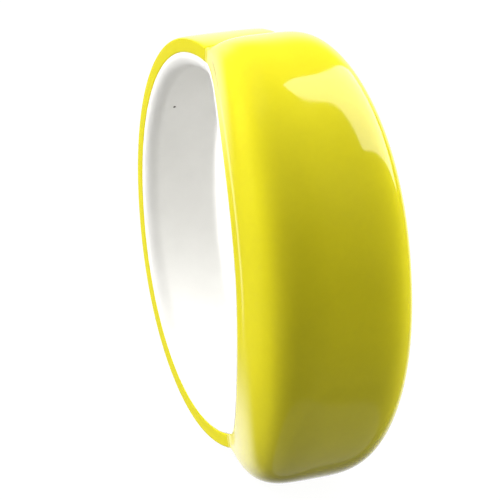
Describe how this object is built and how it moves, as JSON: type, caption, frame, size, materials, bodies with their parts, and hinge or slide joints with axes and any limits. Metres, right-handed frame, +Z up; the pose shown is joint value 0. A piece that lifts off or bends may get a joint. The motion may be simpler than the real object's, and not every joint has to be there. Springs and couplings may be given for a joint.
{
  "type": "bangle watch",
  "caption": "Rigid bangle watch: a wide crowned glossy case with a hidden light-up display, hinged to a thin half band, over a pale liner round an oval wrist opening.",
  "frame": {"origin": "centre of the oval wrist opening, halfway across the width", "axes": "+X runs along the wrist, towards the button's side; -Y is the front of the case; +Z is up, towards the clasp"},
  "size_m": [0.0261, 0.0747, 0.0718],
  "materials": {
    "yellow_plastic": "glossy moulded acrylic, tinted through, bright yellow",
    "white_plastic": "satin moulded ABS, white",
    "steel": "nickel-plated steel",
    "green_laminate": "solder-masked glass laminate",
    "black_plastic": "moulded black plastic",
    "red_plastic": "tinted clear display bars",
    "gold_brass": "gold-flashed spring brass and solder pads",
    "black_rubber": "nitrile rubber"
  },
  "bodies": {
    "case": {"case_shell": "yellow_plastic", "case_liner": "white_plastic", "liner_screws": "steel", "circuit_board": "green_laminate", "board_screws": "steel", "display_housing": "black_plastic", "display_segments": "red_plastic", "controller_chip": "black_plastic", "quartz_crystal": "steel", "chip_components": "gold_brass", "side_switch": "black_plastic", "negative_contact": "gold_brass", "positive_contact": "gold_brass", "coin_cell": "steel", "battery_door": "white_plastic", "door_seal": "black_rubber", "case_magnets": "steel", "hinge_case_leaf": "steel", "hinge_pin": "steel"},
    "button": {"button_cap": "yellow_plastic", "button_seal": "black_rubber", "switch_plunger": "white_plastic"},
    "band": {"band_shell": "yellow_plastic", "band_liner": "white_plastic", "band_magnets": "steel", "clasp_tongue": "steel", "hinge_band_leaf": "steel"}
  },
  "joints": [
    {"name": "band_hinge", "type": "hinge", "parent": "case", "child": "band", "pos_m": [0, -0.00617, -0.03347], "axis": [-1, 0, 0], "range_deg": [0, 75]},
    {"name": "button_press", "type": "slide", "parent": "case", "child": "button", "axis": [-1, 0, 0], "range_m": [0, 0.0004], "stiffness_N_per_m": 1200, "springref_m": -0.0003}
  ]
}
